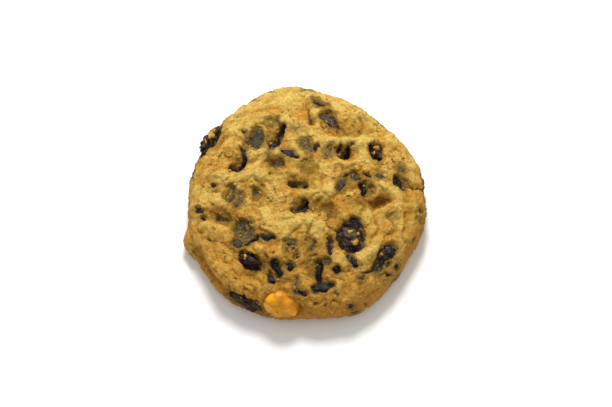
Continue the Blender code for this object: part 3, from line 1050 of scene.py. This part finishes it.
def dough_material(colours):
    """Matt baked dough: painted highlights on the ridges, painted shade in the hollows, pores and cracks,
    olive hollows round the fruit, toasted patches with painted shade towards the near side, a browner
    side.
    """
    recipe = Recipe("baked_dough")
    names = ("pale_tone_and_ridge_light", "stain", "toast_and_near_shade", "crust", "tray", "pit", "dark", "veil")
    pale_tone_and_ridge_light, stain, toast_and_near_shade, crust, tray, pit, dark, veil = [recipe.attribute(name) for name in names]
    broad = recipe.grain(6.0 * MM, 4.0, 0.6)
    middle = recipe.grain(1.8 * MM, 4.0, 0.65)
    tears = recipe.grain(1.0 * MM, 3.0, 0.6)
    fine = recipe.grain(0.55 * MM, 3.0, 0.65)
    sand = recipe.cells(0.55 * MM)
    # Fine crack lines: bumped in, and painted darker as shade in the cracks.
    veins = recipe.reckon("ABSOLUTE", recipe.minus(recipe.grain(3.4 * MM, 2.0, 0.6, 0.6), 0.5), 0.0)
    flawed = recipe.spread(recipe.grain(5.0 * MM), 0.54, 0.64)
    crack_lines_and_shade = recipe.times(recipe.spread(veins, 0.022, 0.0), flawed)

    # Painted light and shade: lighter on the ridges of the relief, darker in its hollows.
    relief_light_and_shade = recipe.fray(recipe.fray(pale_tone_and_ridge_light, middle, 0.3, 0.7, 0.22), broad, 0.35, 0.65, 0.10)
    colour = recipe.blend(recipe.spread(relief_light_and_shade, 0.40, 0.82), colours.dough, colours.pale_tone_and_ridge_light)
    # Toasted patches, and painted shade towards the near side.
    browned = recipe.times(toast_and_near_shade, recipe.spread(middle, 0.32, 0.58))
    colour = recipe.blend(browned, colour, colours.toast_and_near_shade)
    crusted = recipe.times(crust, recipe.spread(broad, 0.3, 0.6, 0.55, 0.95))
    colour = recipe.blend(crusted, colour, colours.crust)
    # Painted shade: darker dough in the hollows of the relief.
    low = recipe.times(recipe.spread(relief_light_and_shade, 0.46, 0.05, 0.0, 0.9), recipe.minus(1.0, crust))
    colour = recipe.blend(low, colour, colours.dark_dough_and_hollow_shade)
    frayed = recipe.fray(stain, middle, 0.3, 0.7, 0.16)
    colour = recipe.blend(recipe.spread(frayed, 0.05, 0.55, 0.0, 0.85), colour, colours.olive)
    light_specks = recipe.times(recipe.spread(fine, 0.56, 0.72), recipe.spread(frayed, 0.9, 0.3, 0.2, 0.7))
    colour = recipe.blend(light_specks, colour, colours.pale_tone_and_ridge_light)
    brown_specks = recipe.spread(fine, 0.41, 0.28, 0.0, 0.55)
    colour = recipe.blend(brown_specks, colour, colours.crust)
    colour = recipe.blend(recipe.spread(sand, 0.25, 0.65, 0.0, 0.14), colour, (0.22, 0.11, 0.02))

    torn = recipe.fray(recipe.fray(dark, tears, 0.3, 0.7, 0.28), fine, 0.3, 0.7, 0.12)
    filmed = recipe.fray(veil, fine, 0.3, 0.7, 0.45)
    fruit = recipe.blend(recipe.spread(filmed, 0.25, 0.75), (0.014, 0.012, 0.014), colours.slate)
    fruit = recipe.blend(recipe.spread(filmed, 0.70, 1.10, 0.0, 0.9), fruit, colours.olive)
    colour = recipe.blend(recipe.spread(torn, 0.40, 0.62), colour, fruit)
    # Painted shade in the fine crack lines.
    colour = recipe.blend(recipe.times(crack_lines_and_shade, 0.5), colour, (0.11, 0.05, 0.012))
    # Painted shade in the pores and cracks.
    colour = recipe.blend(recipe.times(pit, 0.75), colour, (0.12, 0.054, 0.013))
    tray_tone = recipe.blend(recipe.spread(broad, 0.35, 0.65), colours.underside, colours.crust)
    colour = recipe.blend(tray, colour, tray_tone)
    # Sandy mottling, lighter where the bump rises and darker where it sinks: also painted light and shade
    # on the grain.
    coarse_shade = recipe.spread(tears, 0.25, 0.75, 0.84, 1.16)
    shade = recipe.times(coarse_shade, recipe.spread(fine, 0.25, 0.75, 0.86, 1.14))
    colour = recipe.blend(1.0, colour, shade, "MULTIPLY")

    height = recipe.plus(fine, recipe.times(tears, 1.6))
    height = recipe.minus(height, recipe.times(crack_lines_and_shade, 0.9))
    recipe.bump(height, 0.25 * MM, 1.0)
    roughness = recipe.spread(fine, 0.3, 0.7, 0.74, 0.94)
    return recipe.finish(colour, roughness, Specular_IOR_Level=0.10)


def fruit_material(name, colours):
    """Dark fruit skin: black in the folds, a slate bloom that is also a painted highlight on their backs,
    and a frayed film of dough.
    """
    recipe = Recipe(name)
    film = recipe.attribute("film")
    red = recipe.attribute("red")
    middle = recipe.grain(0.9 * MM, 4.0, 0.65)
    fine = recipe.grain(0.35 * MM, 3.0, 0.6)
    skin = recipe.blend(recipe.times(red, 0.8), colours.raisin, (0.055, 0.013, 0.008))
    # Bloom, and painted highlight where the bump rises.
    skin = recipe.blend(recipe.spread(middle, 0.52, 0.74, 0.0, 0.7), skin, colours.bloom_and_fold_highlight)
    frayed = recipe.fray(recipe.fray(film, middle, 0.25, 0.75, 0.32), fine, 0.3, 0.7, 0.12)
    colour = recipe.blend(recipe.spread(frayed, 0.30, 0.70, 0.0, 0.8), skin, colours.slate)
    doughy = recipe.blend(recipe.spread(fine, 0.35, 0.65), colours.dark_dough_and_hollow_shade, colours.dough)
    colour = recipe.blend(recipe.spread(frayed, 0.86, 1.12), colour, doughy)
    recipe.bump(recipe.plus(fine, recipe.times(middle, 1.2)), 0.12 * MM, 0.8)
    roughness = recipe.spread(frayed, 0.3, 0.8, 0.44, 0.9)
    return recipe.finish(colour, roughness, Specular_IOR_Level=0.16)


def golden_material(colours):
    """Golden raisin skin: amber, with painted shade in its folds."""
    recipe = Recipe("golden_raisin_skin")
    fold = recipe.attribute("fold")
    film = recipe.attribute("film")
    middle = recipe.grain(3.0 * MM, 4.0, 0.6)
    fine = recipe.grain(0.4 * MM, 3.0, 0.6)
    colour = recipe.blend(recipe.spread(middle, 0.32, 0.60), (0.56, 0.205, 0.005), colours.golden)
    # Painted shade in the folds.
    colour = recipe.blend(recipe.times(fold, 0.7), colour, (0.34, 0.105, 0.006))
    frayed = recipe.fray(film, middle, 0.3, 0.7, 0.25)
    colour = recipe.blend(recipe.spread(frayed, 0.55, 1.0, 0.0, 0.7), colour, colours.toast_and_near_shade)
    recipe.bump(recipe.plus(fine, middle), 0.08 * MM, 0.6)
    roughness = recipe.spread(fine, 0.3, 0.7, 0.32, 0.50)
    return recipe.finish(colour, roughness, Specular_IOR_Level=0.22)


def dress(piece, material, slot, *nodes):
    """Gives a finished piece its material and its place in the frame."""
    piece.data.materials.append(material)
    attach(piece, BODY)
    if nodes:
        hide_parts(*nodes)


# ------------------------------------------------------------------------------------------ the operators

BAKE = {}                # what one step of the bake leaves for the next


class COOKIE_OT_dough(bpy.types.Operator):
    """Bake the dough body with its relief, wells and stains"""

    bl_idname = "cookie.dough"
    bl_label = "Dough"

    def execute(self, context):
        dough, bits = make_dough(context.scene.cookie_sizes)
        BAKE["bits"] = bits
        BAKE["surface"] = surface_of(dough.data)
        BAKE["dough_material"] = dough_material(context.scene.cookie_colours)
        dress(dough, BAKE["dough_material"], "baked_dough", "cookie")
        return {"FINISHED"}


class COOKIE_OT_raisins(bpy.types.Operator):
    """Seat the dark raisins in the dough"""

    bl_idname = "cookie.raisins"
    bl_label = "Raisins"

    def execute(self, context):
        material = fruit_material("raisin_skin", context.scene.cookie_colours)
        BAKE["raisins"] = {}
        for name in RAISINS:
            if name != GOLDEN:
                raisin = make_raisin(name, context.scene.cookie_sizes)
                BAKE["raisins"][name] = surface_of(raisin.data)
                veil_edges(raisin, BAKE["surface"], 0.7 * MM)
                dress(raisin, material, "raisin_skin", name)
        return {"FINISHED"}


class COOKIE_OT_golden_raisin(bpy.types.Operator):
    """Seat the golden raisin in the near rim"""

    bl_idname = "cookie.golden_raisin"
    bl_label = "Golden Raisin"

    def execute(self, context):
        raisin = make_raisin(GOLDEN, context.scene.cookie_sizes)
        veil_edges(raisin, BAKE["surface"], 0.6 * MM)
        dress(raisin, golden_material(context.scene.cookie_colours), "golden_raisin_skin", GOLDEN)
        return {"FINISHED"}


class COOKIE_OT_fruit_bits(bpy.types.Operator):
    """Lay the small bits of fruit in their wells"""

    bl_idname = "cookie.fruit_bits"
    bl_label = "Fruit Bits"

    def execute(self, context):
        bits = make_fruit_bits(BAKE["bits"])
        veil_edges(bits, BAKE["surface"], 0.35 * MM)
        dress(bits, fruit_material("fruit_bit_skin", context.scene.cookie_colours), "raisin_skin")
        return {"FINISHED"}


class COOKIE_OT_oat_flakes(bpy.types.Operator):
    """Bake oat flakes into the surface"""

    bl_idname = "cookie.oat_flakes"
    bl_label = "Oat Flakes"

    def execute(self, context):
        dress(make_flakes(BAKE["surface"], BAKE["bits"]), BAKE["dough_material"], "baked_dough")
        return {"FINISHED"}


class COOKIE_OT_crumbs(bpy.types.Operator):
    """Scatter crumbs over the crown"""

    bl_idname = "cookie.crumbs"
    bl_label = "Crumbs"

    def execute(self, context):
        crumbs = make_crumbs(BAKE["surface"], BAKE["bits"], BAKE["raisins"])
        dress(crumbs, BAKE["dough_material"], "baked_dough")
        return {"FINISHED"}


# ---------------------------------------------------------------------------------------------- the stage

CAMERA_ELEVATION = math.radians(64.0)
CAMERA_DISTANCE = 0.600
CAMERA_TARGET = Vector((-0.0002, -0.0005, 0.0060))
CAMERA_LENS = 111.5
SENSOR_WIDTH = 36.0
LIGHT_PLACE = (-0.01, 0.28, 0.40)
LIGHT_TARGET = (0.0, 0.0, 0.006)
LIGHT_SIZE = 0.16
LIGHT_POWER = 2.38
SKY_STRENGTH = 0.66
FLOOR_SIZE = 1.6
FLOOR_GAP = 0.00005      # keeps the floor and the base from lying in one plane


def look_at(thing, target):
    thing.rotation_euler = (Vector(target) - thing.location).to_track_quat("-Z", "Y").to_euler()


def add_light(name, place, size, power, colour):
    light = bpy.data.lights.new(name, "AREA")
    light.shape = "DISK"
    light.size = size
    light.energy = power
    light.color = colour
    lamp = bpy.data.objects.new(name, light)
    bpy.context.scene.collection.objects.link(lamp)
    lamp.location = place
    look_at(lamp, LIGHT_TARGET)


class COOKIE_OT_stage(bpy.types.Operator):
    """Set the floor, the lights and the camera"""

    bl_idname = "cookie.stage"
    bl_label = "Stage"

    def execute(self, context):
        scene = context.scene
        mesh = bmesh.new()
        bmesh.ops.create_grid(mesh, x_segments=2, y_segments=2, size=0.5 * FLOOR_SIZE)
        bmesh.ops.translate(mesh, verts=mesh.verts, vec=(0.0, 0.0, -FLOOR_GAP))
        floor = add_piece("floor", mesh)
        recipe = Recipe("white_table")
        tint = recipe.blend(recipe.grain(0.2), (0.90, 0.90, 0.895), (0.93, 0.93, 0.93))
        floor.data.materials.append(recipe.finish(tint, 0.7, Specular_IOR_Level=0.1))

        world = scene.world or bpy.data.worlds.new("studio")
        scene.world = world
        world.use_nodes = True
        background = world.node_tree.nodes["Background"]
        background.inputs["Color"].default_value = (1.0, 0.99, 0.97, 1.0)
        background.inputs["Strength"].default_value = SKY_STRENGTH
        add_light("top_light", LIGHT_PLACE, LIGHT_SIZE, LIGHT_POWER, (1.0, 0.985, 0.96))

        lens = bpy.data.cameras.new("camera")
        lens.lens = CAMERA_LENS
        lens.sensor_width = SENSOR_WIDTH
        lens.clip_start = 0.01
        camera = bpy.data.objects.new("camera", lens)
        scene.collection.objects.link(camera)
        back = Vector((0.0, -math.cos(CAMERA_ELEVATION), math.sin(CAMERA_ELEVATION)))
        camera.location = CAMERA_TARGET + CAMERA_DISTANCE * back
        look_at(camera, CAMERA_TARGET)
        scene.camera = camera
        scene.view_settings.view_transform = "Standard"
        return {"FINISHED"}


class COOKIE_PT_panel(bpy.types.Panel):
    """Lists the steps of the bake"""

    bl_idname = "COOKIE_PT_panel"
    bl_label = "Oatmeal Raisin Cookie"
    bl_space_type = "VIEW_3D"
    bl_region_type = "UI"
    bl_category = "Cookie"

    def draw(self, context):
        layout = self.layout
        for group in (context.scene.cookie_sizes, context.scene.cookie_colours):
            box = layout.box()
            for name in group.__annotations__:
                box.prop(group, name)
        for step in STEPS:
            layout.operator(step.bl_idname)


STEPS = (
    COOKIE_OT_dough,
    COOKIE_OT_raisins,
    COOKIE_OT_golden_raisin,
    COOKIE_OT_fruit_bits,
    COOKIE_OT_oat_flakes,
    COOKIE_OT_crumbs,
    COOKIE_OT_stage,
)
CLASSES = (CookieSizes, CookieColours, *STEPS, COOKIE_PT_panel)


def register():
    noise.seed_set(NOISE_SEED)
    for kind in CLASSES:
        bpy.utils.register_class(kind)
    bpy.types.Scene.cookie_sizes = bpy.props.PointerProperty(type=CookieSizes)
    bpy.types.Scene.cookie_colours = bpy.props.PointerProperty(type=CookieColours)


def unregister():
    del bpy.types.Scene.cookie_sizes
    del bpy.types.Scene.cookie_colours
    for kind in reversed(CLASSES):
        bpy.utils.unregister_class(kind)


def main():
    register()
    bpy.ops.cookie.dough()
    bpy.ops.cookie.raisins()
    bpy.ops.cookie.golden_raisin()
    bpy.ops.cookie.fruit_bits()
    bpy.ops.cookie.oat_flakes()
    bpy.ops.cookie.crumbs()
    bpy.ops.cookie.stage()


if __name__ == "__main__":
    main()
